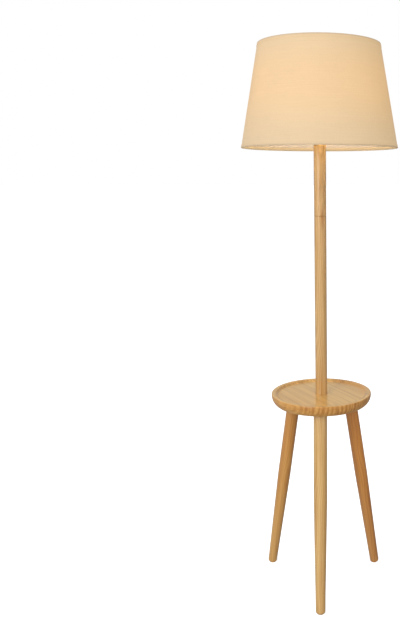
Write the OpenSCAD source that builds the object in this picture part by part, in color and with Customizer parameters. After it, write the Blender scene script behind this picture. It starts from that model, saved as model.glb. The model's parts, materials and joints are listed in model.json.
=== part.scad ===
// Floor lamp with a round tray table on three splayed wooden legs.
// Millimetres, +Z up. The origin is on the floor, on the pole's axis. The front leg points to -Y.

/* [Tray] */
// Outside diameter of the tray
tray_d = 298; // [270:1:330]
// Height of the tray's underside above the floor
tray_underside_z = 579; // [520:1:640]
// Thickness of the tray at its rim
tray_t = 33; // [30:0.5:40]
// Depth of the dish turned into the tray's top
dish_depth = 6.5; // [4:0.5:9]
// Width of the rim's crown, outside the dish's wall
rim_w = 8; // [7:0.5:14]
// Width of the dish's sloping wall
dish_wall_w = 15; // [6:0.5:22]
// Rounding of the rim's upper outside edge
rim_round = 2.5; // [1:0.5:4]
// Height of the upright band round the tray's top
tray_band_h = 6; // [4:0.5:8]
// Distance that the tray's side curves in, from the band to the underside
tray_side_inset = 15; // [6:0.5:20]
// Rounding of the tray's lower edge
tray_edge_round = 2; // [1:0.5:4]
// Diameter of the pocket for the nut in the tray's underside
nut_pocket_d = 46; // [44:1:56]
// Depth of that pocket
nut_pocket_depth = 9; // [8.5:0.5:11]

/* [Legs] */
// Diameter of a leg above its taper
leg_d = 39; // [34:0.5:44]
// Diameter of a leg at its foot
leg_tip_d = 28; // [24:0.5:34]
// Length of a leg's taper, up from the floor
leg_taper_l = 325; // [200:5:420]
// Distance from the pole's axis to a leg's axis at the tray's underside
leg_top_r = 98; // [85:1:108]
// Distance from the pole's axis to a leg's axis at the floor
leg_foot_r = 195; // [150:1:205]
// Rounding round a leg's foot
tip_round = 9; // [5:0.5:11]
// Length that is cut from the rounded foot to make it stand flat
tip_cut = 1.6; // [1:0.1:3]
// Diameter of a leg's hanger bolt
leg_bolt_d = 8; // [6:0.5:10]
// Length of the hanger bolt inside the leg
leg_bolt_grip = 40; // [30:1:60]
// Length of the hanger bolt inside the tray
leg_bolt_reach = 12; // [9:0.5:13]
// Outside diameter of the threaded insert for a leg
leg_insert_d = 12.5; // [12:0.5:16]
// Length of the threaded insert for a leg
leg_insert_l = 12; // [9:0.5:13]

/* [Pole] */
// Diameter of the pole
pole_d = 35; // [30:0.5:40]
// Depth of the pole's seat in the tray
pole_seat_depth = 2; // [1:0.5:4]
// Length of the lower pole section
lower_pole_l = 532; // [400:1:600]
// Length of the upper pole section
upper_pole_l = 213; // [150:1:300]
// Easing of the pole sections' end edges
pole_ease = 0.8; // [0.3:0.1:1.5]
// Diameter of the wire channel along the pole
wire_bore_d = 11; // [10:0.5:13]
// Outside diameter of the threaded inserts in the pole's ends
pole_insert_d = 16; // [15:0.5:20]
// Length of the threaded inserts in the pole's ends
pole_insert_l = 24; // [20:1:32]

/* [Threaded tubes] */
// Outside diameter of the hollow threaded tubes
tube_d = 10; // [9:0.5:11]
// Bore of the hollow threaded tubes
tube_bore_d = 7; // [7:0.1:8]
// Length of a threaded tube inside an insert
tube_grip = 18; // [12:1:19]
// Length of the base tube below its nut
tube_tail = 5; // [4:0.5:8]

/* [Base fastening] */
// Diameter of the washer under the tray
base_washer_d = 40; // [32:1:42]
// Thickness of that washer
base_washer_t = 2; // [1.5:0.5:3]
// Width across the flats of the nut under the tray
base_nut_w = 17; // [15:1:22]
// Height of the nut under the tray
base_nut_h = 6; // [4:0.5:6.5]
// Diameter of the cord gland's collar
gland_d = 16; // [14:0.5:20]
// Height of the cord gland's collar
gland_collar_h = 7; // [6:0.5:9]
// Diameter of the cord gland's lower end
gland_tip_d = 11; // [9.5:0.5:13]
// Length of the cord gland below its collar
gland_nose_l = 8; // [6:0.5:14]
// Bore of the cord gland
cord_bore_d = 6.6; // [5:0.1:7]

/* [Lampholder] */
// Diameter of the seat washer on the pole's top
seat_washer_d = 30; // [24:1:32]
// Thickness of the seat washer
seat_washer_t = 1.5; // [1:0.5:3]
// Diameter of the lampholder's boss
boss_d = 18; // [16:0.5:22]
// Height of the lampholder's boss
boss_h = 5; // [4:0.5:8]
// Diameter of the lampholder's lower cap
holder_d = 39; // [37:0.5:40]
// Height of the lampholder's lower cap
holder_cap_h = 22; // [19:0.5:28]
// Height of the cap's flare, above its boss
holder_flare_h = 8; // [5:0.5:9]
// Wall of the lower cap
holder_wall = 2.2; // [1.6:0.1:3]
// Height of the cap's spigot inside the skirt
spigot_h = 4; // [3:0.5:6]
// Outside diameter of the threaded skirt
skirt_d = 40; // [38:0.5:42]
// Wall of the threaded skirt
skirt_wall = 2; // [1.5:0.1:2.3]
// Height of the threaded skirt
skirt_h = 34; // [32:0.5:37]
// Diameter of the skirt's flange
flange_d = 46; // [44:0.5:50]
// Thickness of the skirt's flange
flange_t = 3; // [2:0.5:4]
// Thickness of the lip round the skirt's mouth
lip_t = 1.5; // [1:0.1:2]
// Thickness of the insulating core's base
core_base_t = 6.5; // [6:0.5:8]
// Inside diameter of the screw shell
shell_bore_d = 27; // [26.9:0.1:27.6]
// Wall of the screw shell
shell_t = 0.5; // [0.3:0.1:0.6]
// Height of the screw shell
shell_h = 20; // [17:0.5:20.5]
// Width of the screw shell's bottom flange
shell_flange_w = 3.5; // [2:0.5:4]
// Height of the centre contact's leaf
contact_h = 2.5; // [1.5:0.1:3.5]
// Thickness of the centre contact's leaf
leaf_t = 0.6; // [0.4:0.1:0.8]
// Width of the centre contact's leaf
leaf_w = 6; // [4:0.5:8]
// Diameter of the centre contact's rivet
rivet_d = 3; // [2:0.2:3.4]
// Distance from the axis to the rivet
rivet_offset = 6; // [5.5:0.1:6.4]
// Diameter of a terminal screw
terminal_d = 3; // [2.5:0.5:4]
// Diameter of a terminal screw's head
terminal_head_d = 6; // [5:0.5:7]
// Height of a terminal screw's head
terminal_head_h = 2.2; // [1.5:0.1:3]
// Length of a terminal screw inside the core
terminal_l = 4.5; // [3:0.5:5]
// Distance from the axis to a terminal screw
terminal_offset = 9; // [8:0.5:10]
// Diameter of the shade rings that clamp the carrier
shade_ring_d = 56; // [52:1:58]
// Height of a shade ring
shade_ring_h = 6; // [4:0.5:8]

/* [Shade carrier] */
// Outside diameter of the carrier ring
carrier_ring_d = 62; // [60:1:70]
// Thickness of the carrier ring
carrier_ring_t = 1.6; // [1:0.2:2.4]
// Height of the carrier ring's underside above the shade's lower edge
carrier_rise = 57; // [40:1:80]
// Diameter of a carrier arm
arm_d = 4; // [3:0.5:5]
// Diameter of the shade's wire rings
wire_d = 3; // [2.5:0.5:5]

/* [Shade] */
// Diameter of the shade at its lower edge
shade_bottom_d = 438; // [390:1:470]
// Diameter of the shade at its upper edge
shade_top_d = 337; // [290:1:370]
// Height of the shade
shade_h = 276; // [240:1:320]
// Thickness of the fabric
fabric_t = 0.6; // [0.4:0.1:1]
// Thickness of the stiff liner under the fabric
liner_t = 0.6; // [0.4:0.1:1]
// Height of the hems round both edges
hem_h = 9; // [8:0.5:14]
// Thickness of the hem tape
hem_t = 0.6; // [0.4:0.1:1]
// Width of the lap seam at the back
seam_w = 11; // [8:1:16]

/* [Bulb] */
// Diameter of the bulb's globe
globe_d = 60; // [54:1:70]
// Wall of the globe
globe_t = 1.2; // [0.8:0.1:2]
// Height of the bulb's top above its tip
bulb_l = 108; // [100:1:118]
// Depth of the globe's open rim below its centre
globe_rim_drop = 10; // [6:1:14]
// Wall of the bulb's housing
housing_t = 1.6; // [1.2:0.1:2.4]
// Length of the housing's neck inside the cap
neck_l = 5; // [3:0.5:7]
// Outside diameter of the bulb's screw cap
bulb_cap_d = 26.3; // [26:0.1:26.4]
// Length of the bulb's screw cap
bulb_cap_l = 21; // [19:0.5:24]
// Wall of the bulb's screw cap
bulb_cap_t = 0.5; // [0.4:0.1:0.8]
// Height of the cap's insulator below the cap
insulator_h = 3.8; // [3:0.1:5]
// Height of the insulator inside the cap
insulator_in_h = 2; // [1.5:0.1:4]
// Diameter of the bulb's tip contact
tip_contact_d = 9.5; // [8:0.5:11]
// Height of the bulb's tip contact
tip_contact_h = 1.3; // [1:0.1:2]
// Thickness of the light board
led_board_t = 1.6; // [1:0.1:2]
// Depth of the light board below the globe's rim
led_board_drop = 2; // [1:0.5:4]
// Number of light chips
led_chips_n = 12; // [6:1:18]
// Side of a light chip
led_chip_w = 3; // [2:0.5:3.5]
// Height of a light chip
led_chip_h = 0.7; // [0.4:0.1:1]
// Radius of the ring of light chips
led_ring_r = 16; // [13:0.5:20]
// Width of the driver board
driver_w = 18; // [14:1:20]
// Height of the driver board
driver_h = 30; // [24:1:34]
// Thickness of the driver board
driver_t = 1.6; // [1:0.1:2]
// Diameter of the driver's capacitor
capacitor_d = 8; // [6:0.5:9]
// Length of the driver's capacitor
capacitor_l = 12; // [8:1:14]

/* [Fits] */
// Radial clearance of pieces that are screwed or pushed together
fit = 0.1; // [0.05:0.01:0.2]
// Radial clearance of pieces that turn on each other
turn_fit = 0.08; // [0.03:0.01:0.1]
// Height that the carrier ring can play between the shade rings
ring_play = 0.1; // [0.05:0.05:0.3]
// Thickness of the glue between the shade's layers
glue_gap = 0.1; // [0.05:0.05:0.2]
// Gap that a weld fills between wires
weld_gap = 0.2; // [0.1:0.05:0.3]

/* [Hidden] */
$fn = 96;

// Legs and carrier arms stand at three equal angles. One leg points forward, one arm back.
LEG_ANGLES = [-90, 30, 150];
ARM_ANGLES = [90, -30, -150];
ARC_STEPS = 8;
past = 1;

// Heights, from the floor up
tray_top_z = tray_underside_z + tray_t;
dish_z = tray_top_z - dish_depth;
pole_z = dish_z - pole_seat_depth;
pole_joint_z = pole_z + lower_pole_l;
pole_top_z = pole_joint_z + upper_pole_l;
holder_z = pole_top_z + seat_washer_t;
skirt_z = holder_z + holder_cap_h;
skirt_top_z = skirt_z + skirt_h;
lower_ring_z = skirt_z + flange_t;
carrier_z = lower_ring_z + shade_ring_h;
upper_ring_z = carrier_z + carrier_ring_t + ring_play;
core_z = skirt_z + spigot_h;
core_top_z = core_z + core_base_t;
bulb_tip_z = core_top_z + contact_h;
shade_z = carrier_z - carrier_rise;

// The base fastening, from the tray down
base_washer_z = tray_underside_z + nut_pocket_depth - base_washer_t;
base_nut_z = base_washer_z - base_nut_h;
gland_z = base_nut_z - gland_collar_h - gland_nose_l;

// Radii
tray_r = tray_d / 2;
rim_inner_r = tray_r - rim_w;
dish_floor_r = rim_inner_r - dish_wall_w;
tray_side_h = tray_t - tray_band_h;
tray_side_r = (pow(tray_side_h, 2) + pow(tray_side_inset, 2)) / (2 * tray_side_inset);
pole_r = pole_d / 2;
tube_seat_r = tube_d / 2 + fit;
spigot_r = skirt_d / 2 - skirt_wall - fit;
shell_r = shell_bore_d / 2 + shell_t;
core_bore_r = shell_r + fit;
carrier_bore_r = skirt_d / 2 + turn_fit;

// A leg's axis, from the floor to the tray's underside
leg_l = norm([leg_foot_r - leg_top_r, tray_underside_z]);
leg_tilt = atan((leg_foot_r - leg_top_r) / tray_underside_z);
leg_insert_setback = leg_insert_d / 2 * tan(leg_tilt);

// The shade's wall: its slope, and its layers from the outside in
shade_slope = (shade_bottom_d - shade_top_d) / 2 / shade_h;
shade_tilt = atan(shade_slope);
liner_depth = fabric_t + glue_gap;
wire_depth = liner_depth + liner_t + glue_gap + wire_d / 2;
hem_inner_depth = wire_depth + wire_d / 2 + glue_gap;
panel_edge = hem_t + glue_gap;
wire_height = panel_edge + wire_d / 2;

// A carrier arm runs from the carrier ring's edge to the lower wire ring
arm_start = [carrier_ring_d / 2, carrier_z + carrier_ring_t / 2];
arm_end = [shade_r(wire_height, wire_depth), shade_z + wire_height];
arm_fall = atan2(arm_start.y - arm_end.y, arm_end.x - arm_start.x);
arm_setback = weld_gap + arm_d / 2 * tan(arm_fall);
arm_l = norm(arm_end - arm_start) - arm_setback - wire_d / 2 - weld_gap;

// The bulb, from its tip up
bulb_insulator_z = bulb_tip_z + tip_contact_h;
bulb_cap_z = bulb_insulator_z + insulator_h;
bulb_cap_top_z = bulb_cap_z + bulb_cap_l;
globe_centre_z = bulb_tip_z + bulb_l - globe_d / 2;
globe_rim_z = globe_centre_z - globe_rim_drop;
globe_rim_r = sqrt(pow(globe_d / 2, 2) - pow(globe_rim_drop, 2));
bulb_cap_bore_r = bulb_cap_d / 2 - bulb_cap_t;
neck_r = bulb_cap_bore_r - fit;
housing_seat_r = bulb_cap_d / 2;
led_board_z = globe_rim_z - led_board_drop - led_board_t;
driver_z = led_board_z - driver_h;

// Points along a circular arc, from angle a0 to angle a1
function arc(centre, r, a0, a1) = [
    for (i = [0:ARC_STEPS]) let (a = a0 + (a1 - a0) * i / ARC_STEPS)
        centre + r * [cos(a), sin(a)]
];

// Radius of the shade's wall at height z, at a depth square to its outer face
function shade_r(z, depth) = shade_bottom_d / 2 - shade_slope * z - depth / cos(shade_tilt);

// Radius of the housing's outside at the share t of its height: a flare that ends upright
function flare_r(t) = housing_seat_r + (globe_rim_r - housing_seat_r) * sin(90 * t);

// A solid of revolution about the Z axis from [radius, height] points
module turned(points) {
    rotate_extrude() polygon(points);
}

// A plain tube from height z0 to z1
module tube(outer_r, bore_r, z0, z1) {
    turned([[bore_r, z0], [outer_r, z0], [outer_r, z1], [bore_r, z1]]);
}

// Places its children with +Z along a leg's axis, from the floor up
module along_leg(angle) {
    rotate([0, 0, angle]) translate([leg_foot_r, 0, 0]) rotate([0, -leg_tilt, 0]) children();
}

// Tray

// The tray's side is an arc that starts upright under the band. Its lower edge is rounded into it.
module tray_outline() {
    side_centre = [tray_r - tray_side_r, tray_top_z - tray_band_h];
    edge_drop = tray_side_h - tray_edge_round;
    edge_reach = sqrt(pow(tray_side_r - tray_edge_round, 2) - pow(edge_drop, 2));
    edge_centre = side_centre + [edge_reach, -edge_drop];
    side_turn = atan2(edge_drop, edge_reach);
    dish_wall = [
        for (i = [0:ARC_STEPS]) let (t = i / ARC_STEPS)
            [dish_floor_r + dish_wall_w * t, dish_z + dish_depth * (1 - cos(180 * t)) / 2]
    ];
    rim = arc([tray_r - rim_round, tray_top_z - rim_round], rim_round, 90, 0);
    side = arc(side_centre, tray_side_r, 0, -side_turn);
    lower_edge = arc(edge_centre, tray_edge_round, -side_turn, -90);
    outer = concat(rim, side, lower_edge);
    polygon(concat([[0, tray_underside_z], [0, dish_z]], dish_wall, outer));
}

module tray_top() {
    color("burlywood") difference() {
        rotate_extrude() tray_outline();
        translate([0, 0, tray_underside_z - past])
            cylinder(d = nut_pocket_d, h = nut_pocket_depth + past);
        translate([0, 0, tray_underside_z]) cylinder(r = tube_seat_r, h = tray_t);
        translate([0, 0, pole_z]) cylinder(r = pole_r + fit, h = tray_t);
        for (angle = LEG_ANGLES) along_leg(angle) translate([0, 0, leg_l - leg_insert_d])
            cylinder(d = leg_insert_d + 2 * fit, h = leg_insert_d + leg_insert_setback + leg_insert_l);
    }
}

// Legs

module leg_blank() {
    tip_r = leg_tip_d / 2;
    foot = arc([tip_r - tip_round, tip_round - tip_cut], tip_round, -90, 0);
    top = leg_l + leg_d;
    turned(concat([[0, -tip_cut]], foot, [[leg_d / 2, leg_taper_l], [leg_d / 2, top], [0, top]]));
}

module leg(angle) {
    reach = leg_foot_r + leg_d;
    color("peru") difference() {
        intersection() {
            along_leg(angle) leg_blank();
            translate([-reach, -reach, 0]) cube([2 * reach, 2 * reach, tray_underside_z]);
        }
        along_leg(angle) translate([0, 0, leg_l - leg_bolt_grip])
            cylinder(d = leg_bolt_d + 2 * fit, h = leg_bolt_grip + leg_d);
    }
}

module leg_bolts() {
    color("silver") for (angle = LEG_ANGLES) along_leg(angle)
        translate([0, 0, leg_l - leg_bolt_grip])
            cylinder(d = leg_bolt_d, h = leg_bolt_grip + leg_bolt_reach);
}

module leg_inserts() {
    z0 = leg_l + leg_insert_setback;
    color("gold") for (angle = LEG_ANGLES) along_leg(angle)
        tube(leg_insert_d / 2, leg_bolt_d / 2 + fit, z0, z0 + leg_insert_l);
}

// Pole

// A pole section with eased ends and a seat for a threaded insert at each end
module pole_section(z0, z1) {
    seat_r = pole_insert_d / 2 + fit;
    wire_r = wire_bore_d / 2;
    turned([
        [seat_r, z0], [pole_r - pole_ease, z0], [pole_r, z0 + pole_ease],
        [pole_r, z1 - pole_ease], [pole_r - pole_ease, z1], [seat_r, z1],
        [seat_r, z1 - pole_insert_l], [wire_r, z1 - pole_insert_l],
        [wire_r, z0 + pole_insert_l], [seat_r, z0 + pole_insert_l]
    ]);
}

module lower_pole() {
    color("burlywood") pole_section(pole_z, pole_joint_z);
}

module upper_pole() {
    color("burlywood") pole_section(pole_joint_z, pole_top_z);
}

module pole_insert(z0) {
    tube(pole_insert_d / 2, tube_seat_r, z0, z0 + pole_insert_l);
}

module pole_foot_insert() {
    color("gold") pole_insert(pole_z);
}

module lower_joint_insert() {
    color("gold") pole_insert(pole_joint_z - pole_insert_l);
}

module upper_joint_insert() {
    color("gold") pole_insert(pole_joint_z);
}

module pole_top_insert() {
    color("gold") pole_insert(pole_top_z - pole_insert_l);
}

module threaded_tube(z0, z1) {
    color("silver") tube(tube_d / 2, tube_bore_d / 2, z0, z1);
}

module pole_joiner() {
    threaded_tube(pole_joint_z - tube_grip, pole_joint_z + tube_grip);
}

module base_tube() {
    threaded_tube(base_nut_z - tube_tail, pole_z + tube_grip);
}

module holder_tube() {
    threaded_tube(pole_top_z - tube_grip, holder_z + boss_h);
}

// Base fastening

module base_washer() {
    color("silver")
        tube(base_washer_d / 2, tube_seat_r, base_washer_z, base_washer_z + base_washer_t);
}

module base_nut() {
    color("silver") translate([0, 0, base_nut_z]) difference() {
        cylinder(d = base_nut_w / cos(30), h = base_nut_h, $fn = 6);
        translate([0, 0, -past]) cylinder(r = tube_seat_r, h = base_nut_h + 2 * past);
    }
}

module cord_gland() {
    cord_r = cord_bore_d / 2;
    ledge_z = base_nut_z - tube_tail - fit;
    color("dimgray") turned([
        [tube_seat_r, base_nut_z], [gland_d / 2, base_nut_z],
        [gland_d / 2, base_nut_z - gland_collar_h], [gland_tip_d / 2, gland_z],
        [cord_r, gland_z], [cord_r, ledge_z], [tube_seat_r, ledge_z]
    ]);
}

// Lampholder

module seat_washer() {
    color("silver") tube(seat_washer_d / 2, tube_seat_r, pole_top_z, holder_z);
}

module holder_cap() {
    flare_top_z = holder_z + boss_h + holder_flare_h;
    cavity_r = spigot_r - holder_wall;
    color("ivory") turned([
        [tube_seat_r, holder_z], [boss_d / 2, holder_z], [boss_d / 2, holder_z + boss_h],
        [holder_d / 2, flare_top_z], [holder_d / 2, skirt_z], [spigot_r, skirt_z],
        [spigot_r, core_z], [cavity_r, core_z], [cavity_r, flare_top_z + holder_wall],
        [boss_d / 2, holder_z + boss_h + holder_wall],
        [tube_seat_r, holder_z + boss_h + holder_wall]
    ]);
}

module holder_core() {
    core_r = spigot_r;
    core_end_z = skirt_top_z - lip_t;
    color("whitesmoke") difference() {
        turned([
            [0, core_z], [core_r, core_z], [core_r, core_end_z],
            [core_bore_r, core_end_z], [core_bore_r, core_top_z], [0, core_top_z]
        ]);
        translate([-rivet_offset, 0, core_z - past])
            cylinder(d = rivet_d + 2 * fit, h = core_base_t + 2 * past);
        for (side = [-1, 1]) translate([0, side * terminal_offset, core_z - past])
            cylinder(d = terminal_d + 2 * fit, h = terminal_l + past);
    }
}

module screw_shell() {
    bore_r = shell_bore_d / 2;
    color("gold") turned([
        [bore_r - shell_flange_w, core_top_z], [shell_r, core_top_z],
        [shell_r, core_top_z + shell_h], [bore_r, core_top_z + shell_h],
        [bore_r, core_top_z + shell_t], [bore_r - shell_flange_w, core_top_z + shell_t]
    ]);
}

// A leaf that stands on its riveted foot and meets the bulb's tip over the axis
module centre_contact() {
    foot_x = -rivet_offset - rivet_d / 2;
    step_x = -rivet_offset + rivet_d / 2;
    end_x = leaf_w / 2;
    color("gold") {
        translate([0, leaf_w / 2, core_top_z]) rotate([90, 0, 0]) linear_extrude(leaf_w)
            polygon([
                [foot_x, 0], [step_x + leaf_t, 0], [step_x + contact_h, contact_h - leaf_t],
                [end_x, contact_h - leaf_t], [end_x, contact_h],
                [step_x + contact_h - leaf_t, contact_h], [step_x, leaf_t], [foot_x, leaf_t]
            ]);
        translate([-rivet_offset, 0, core_z]) cylinder(d = rivet_d, h = core_base_t + leaf_t / 2);
    }
}

module terminal_screws() {
    color("gold") for (side = [-1, 1]) translate([0, side * terminal_offset, core_z]) {
        translate([0, 0, -terminal_head_h]) cylinder(d = terminal_head_d, h = terminal_head_h);
        cylinder(d = terminal_d, h = terminal_l - fit);
    }
}

module holder_skirt() {
    inner_r = skirt_d / 2 - skirt_wall;
    color("ivory") turned([
        [inner_r, skirt_z], [flange_d / 2, skirt_z], [flange_d / 2, lower_ring_z],
        [skirt_d / 2, lower_ring_z], [skirt_d / 2, skirt_top_z], [core_bore_r, skirt_top_z],
        [core_bore_r, skirt_top_z - lip_t], [inner_r, skirt_top_z - lip_t]
    ]);
}

module shade_ring(z) {
    color("ivory") tube(shade_ring_d / 2, skirt_d / 2 + fit, z, z + shade_ring_h);
}

module lower_shade_ring() {
    shade_ring(lower_ring_z);
}

module upper_shade_ring() {
    shade_ring(upper_ring_z);
}

// Shade carrier

module carrier_ring() {
    color("white")
        tube(carrier_ring_d / 2, carrier_bore_r, carrier_z, carrier_z + carrier_ring_t);
}

module carrier_arm(angle, d, l) {
    rotate([0, 0, angle]) translate([arm_start.x, 0, arm_start.y])
        rotate([0, 90 + arm_fall, 0]) translate([0, 0, arm_setback]) cylinder(d = d, h = l);
}

module carrier_arms() {
    color("white") for (angle = ARM_ANGLES) carrier_arm(angle, arm_d, arm_l);
}

module wire_ring(z) {
    color("white") translate([0, 0, shade_z]) rotate_extrude()
        translate([shade_r(z, wire_depth), z]) circle(d = wire_d, $fn = 32);
}

module shade_bottom_wire() {
    wire_ring(wire_height);
}

module shade_top_wire() {
    wire_ring(shade_h - wire_height);
}

// Shade

// A layer of the shade's wall, between two depths and two heights
module shade_layer(depth0, depth1, z0, z1) {
    polygon([
        [shade_r(z0, depth0), z0], [shade_r(z1, depth0), z1],
        [shade_r(z1, depth1), z1], [shade_r(z0, depth1), z0]
    ]);
}

module shade_liner() {
    color("whitesmoke") translate([0, 0, shade_z]) rotate_extrude()
        shade_layer(liner_depth, liner_depth + liner_t, panel_edge, shade_h - panel_edge);
}

module shade_fabric() {
    color("navajowhite") translate([0, 0, shade_z]) rotate_extrude()
        shade_layer(0, fabric_t, panel_edge, shade_h - panel_edge);
}

// Tape that is folded over an edge of the shade and round its wire.
// edge_z is the edge's height in the shade, and inward is 1 at the lower edge and -1 at the upper.
module hem(edge_z, inward) {
    fold_z = edge_z + inward * hem_t;
    end_z = edge_z + inward * hem_h;
    rotate_extrude() polygon([
        [shade_r(edge_z, -panel_edge), edge_z], [shade_r(end_z, -panel_edge), end_z],
        [shade_r(end_z, -glue_gap), end_z], [shade_r(fold_z, -glue_gap), fold_z],
        [shade_r(fold_z, hem_inner_depth), fold_z], [shade_r(end_z, hem_inner_depth), end_z],
        [shade_r(end_z, hem_inner_depth + hem_t), end_z],
        [shade_r(edge_z, hem_inner_depth + hem_t), edge_z]
    ]);
}

// The lower hem is notched where the arms reach the wire
module shade_bottom_hem() {
    color("wheat") difference() {
        translate([0, 0, shade_z]) hem(0, 1);
        for (angle = ARM_ANGLES) carrier_arm(angle, arm_d + 2 * weld_gap, arm_l + weld_gap);
    }
}

module shade_top_hem() {
    color("wheat") translate([0, 0, shade_z]) hem(shade_h, -1);
}

module shade_seam() {
    turn = seam_w / (shade_bottom_d / 2) * 180 / PI;
    color("wheat") translate([0, 0, shade_z]) rotate([0, 0, 90 - turn / 2])
        rotate_extrude(angle = turn)
            shade_layer(-panel_edge, -glue_gap, hem_h + glue_gap, shade_h - hem_h - glue_gap);
}

// Bulb

module bulb_globe() {
    color("white") translate([0, 0, globe_centre_z]) difference() {
        sphere(d = globe_d);
        sphere(d = globe_d - 2 * globe_t);
        translate([0, 0, -globe_d - globe_rim_drop]) cylinder(d = 2 * globe_d, h = globe_d);
    }
}

module bulb_housing() {
    height = globe_rim_z - bulb_cap_top_z;
    outside = [
        for (i = [0:ARC_STEPS]) let (t = i / ARC_STEPS) [flare_r(t), bulb_cap_top_z + height * t]
    ];
    inside = [for (i = [ARC_STEPS:-1:0]) [outside[i].x - housing_t, outside[i].y]];
    neck_bore_r = neck_r - housing_t;
    color("white") turned(concat(
        [[neck_bore_r, bulb_cap_top_z - neck_l], [neck_r, bulb_cap_top_z - neck_l]],
        [[neck_r, bulb_cap_top_z]], outside, inside, [[neck_bore_r, bulb_cap_top_z + housing_t]]
    ));
}

module led_board() {
    board_t = (led_board_z - bulb_cap_top_z) / (globe_rim_z - bulb_cap_top_z);
    color("gainsboro") translate([0, 0, led_board_z])
        cylinder(r = flare_r(board_t) - housing_t - fit, h = led_board_t);
}

module led_chips() {
    color("gold") for (i = [0:led_chips_n - 1]) rotate([0, 0, i * 360 / led_chips_n])
        translate([led_ring_r, 0, led_board_z + led_board_t + led_chip_h / 2])
            cube([led_chip_w, led_chip_w, led_chip_h], center = true);
}

module bulb_driver() {
    color("green") {
        translate([-driver_w / 2, -driver_t / 2, driver_z]) cube([driver_w, driver_t, driver_h]);
        translate([0, driver_t / 2 - fit, driver_z + driver_h / 2]) rotate([-90, 0, 0])
            cylinder(d = capacitor_d, h = capacitor_l / 2);
    }
}

module bulb_cap() {
    color("silver") tube(bulb_cap_d / 2, bulb_cap_bore_r, bulb_cap_z, bulb_cap_top_z);
}

module bulb_insulator() {
    rim_r = bulb_cap_bore_r - turn_fit;
    color("black") turned([
        [0, bulb_insulator_z], [tip_contact_d / 2, bulb_insulator_z],
        [rim_r, bulb_cap_z], [rim_r, bulb_cap_z + insulator_in_h], [0, bulb_cap_z + insulator_in_h]
    ]);
}

module bulb_contact() {
    color("silver") translate([0, 0, bulb_tip_z]) cylinder(d = tip_contact_d, h = tip_contact_h);
}

tray_top();
leg(LEG_ANGLES[0]);  // leg_front
leg(LEG_ANGLES[1]);  // leg_right
leg(LEG_ANGLES[2]);  // leg_left
leg_bolts();
leg_inserts();
lower_pole();
upper_pole();
pole_foot_insert();
lower_joint_insert();
upper_joint_insert();
pole_top_insert();
pole_joiner();
base_tube();
base_washer();
base_nut();
cord_gland();
holder_tube();
seat_washer();
holder_cap();
holder_core();
screw_shell();
centre_contact();
terminal_screws();
holder_skirt();
lower_shade_ring();
upper_shade_ring();
carrier_ring();
carrier_arms();
shade_bottom_wire();
shade_top_wire();
shade_liner();
shade_fabric();
shade_bottom_hem();
shade_top_hem();
shade_seam();
bulb_globe();
bulb_housing();
led_board();
led_chips();
bulb_driver();
bulb_cap();
bulb_insulator();
bulb_contact();
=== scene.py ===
"""The looks of a floor lamp with a round tray table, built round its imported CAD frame."""
import json
import math

import bmesh
import bpy
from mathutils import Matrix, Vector


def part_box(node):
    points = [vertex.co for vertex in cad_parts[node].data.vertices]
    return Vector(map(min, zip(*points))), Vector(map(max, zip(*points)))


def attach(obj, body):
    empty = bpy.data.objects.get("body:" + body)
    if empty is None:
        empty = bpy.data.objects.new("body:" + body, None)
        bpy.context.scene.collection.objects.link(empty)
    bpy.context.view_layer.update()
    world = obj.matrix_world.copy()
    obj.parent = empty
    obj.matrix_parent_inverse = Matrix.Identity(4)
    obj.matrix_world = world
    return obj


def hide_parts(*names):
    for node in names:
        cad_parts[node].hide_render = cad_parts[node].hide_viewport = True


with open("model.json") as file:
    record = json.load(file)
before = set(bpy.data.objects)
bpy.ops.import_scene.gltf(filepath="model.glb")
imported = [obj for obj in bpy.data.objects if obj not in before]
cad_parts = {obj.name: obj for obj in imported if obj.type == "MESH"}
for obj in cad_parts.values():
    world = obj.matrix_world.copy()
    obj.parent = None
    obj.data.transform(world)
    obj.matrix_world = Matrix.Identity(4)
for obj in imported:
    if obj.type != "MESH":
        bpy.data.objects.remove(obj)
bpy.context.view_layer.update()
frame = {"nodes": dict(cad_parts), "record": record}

TAU = 2 * math.pi
MM = 0.001

# The camera: the photograph's perspective, fitted to the lamp's edges. It stands a little to the
# right of the lamp and looks straight ahead and down, and the shift sets the lamp at the right.
CAMERA_PLACE = (0.0694, -2.0597, 1.2389)
CAMERA_PITCH = math.radians(11.343)
CAMERA_LENS_MM = 39.79
CAMERA_SENSOR_MM = 36
CAMERA_SHIFT = -0.2243

# Light. Each area light has its place, watts, size and colour.
WORLD_FROM = (-0.42, -0.75, 0.5)
WORLD_NEAR = 1.08
WORLD_FAR = 0.3
AREA_LIGHTS = {
    "key": ((-1.6, -2.9, 2.2), 66, (1.1, 2.4), (0.97, 0.98, 1.0)),
    "fill": ((2.4, -1.6, 1.6), 12, (2.0, 2.0), (1.0, 0.92, 0.82)),
    "panel": ((-0.1, 2.2, 1.3), 1.3, (1.3, 0.9), (1.0, 0.92, 0.55)),
}
LIGHTS_AIM = (0, 0, 0.95)
BULB_WATTS = 3.4
BULB_COLOUR = (1.0, 0.77, 0.48)
BULB_SOFTNESS = 0.9
FLOOR_RADIUS = 150
FLOOR_STEPS = 64
FLOOR_GLOW = 0.55

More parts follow.
